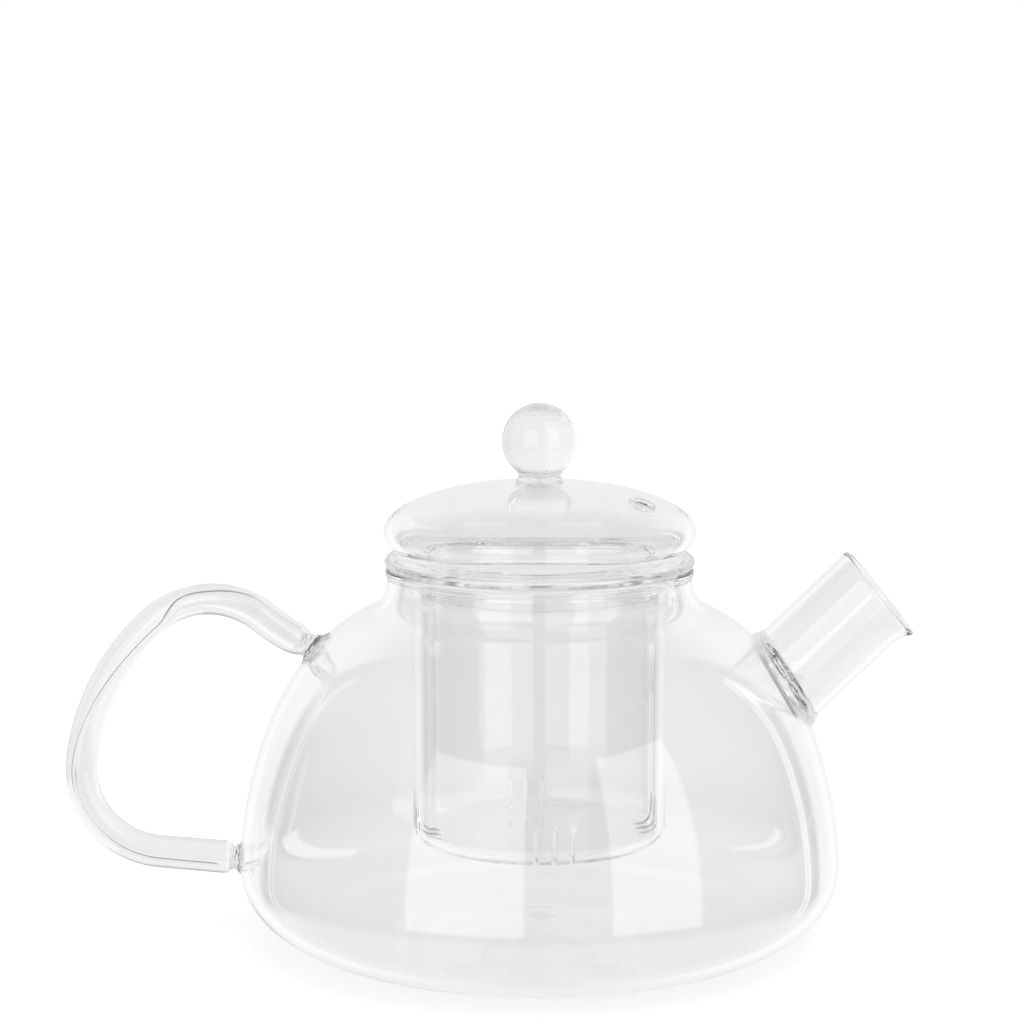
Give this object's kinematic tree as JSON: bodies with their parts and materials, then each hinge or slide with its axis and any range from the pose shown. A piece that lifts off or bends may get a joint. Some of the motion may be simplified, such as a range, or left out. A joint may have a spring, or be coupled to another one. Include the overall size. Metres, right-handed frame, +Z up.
{
  "type": "teapot",
  "caption": "Clear glass teapot with a wide bowl, straight spout and loop handle, a slotted glass infuser hanging in the neck and a ball-knobbed lid.",
  "frame": {"origin": "centre of the foot ring, on the table", "axes": "+X towards the spout, -X towards the handle, +Z up through the lid's knob, the spout and handle lie in the plane y = 0"},
  "size_m": [0.2255, 0.16, 0.1428],
  "materials": {
    "clear_glass": "clear borosilicate glass, fire-polished",
    "fused_glass": "clear glass with wavy fusion lines"
  },
  "bodies": {
    "pot": {"pot_bowl": "clear_glass", "spout": "clear_glass", "spout_weld": "fused_glass", "handle": "clear_glass", "handle_upper_weld": "fused_glass", "handle_lower_weld": "fused_glass"},
    "infuser": {"infuser": "clear_glass"},
    "lid": {"lid_dome": "clear_glass", "lid_collar": "clear_glass", "lid_knob": "clear_glass", "lid_knob_weld": "fused_glass", "lid_vent_ring": "fused_glass"}
  },
  "joints": [
    {"name": "infuser_lift", "type": "slide", "parent": "pot", "child": "infuser", "axis": [0, 0, 1], "range_m": [0, 0.09]},
    {"name": "lid_lift", "type": "slide", "parent": "infuser", "child": "lid", "axis": [0, 0, 1], "range_m": [0, 0.035]}
  ]
}
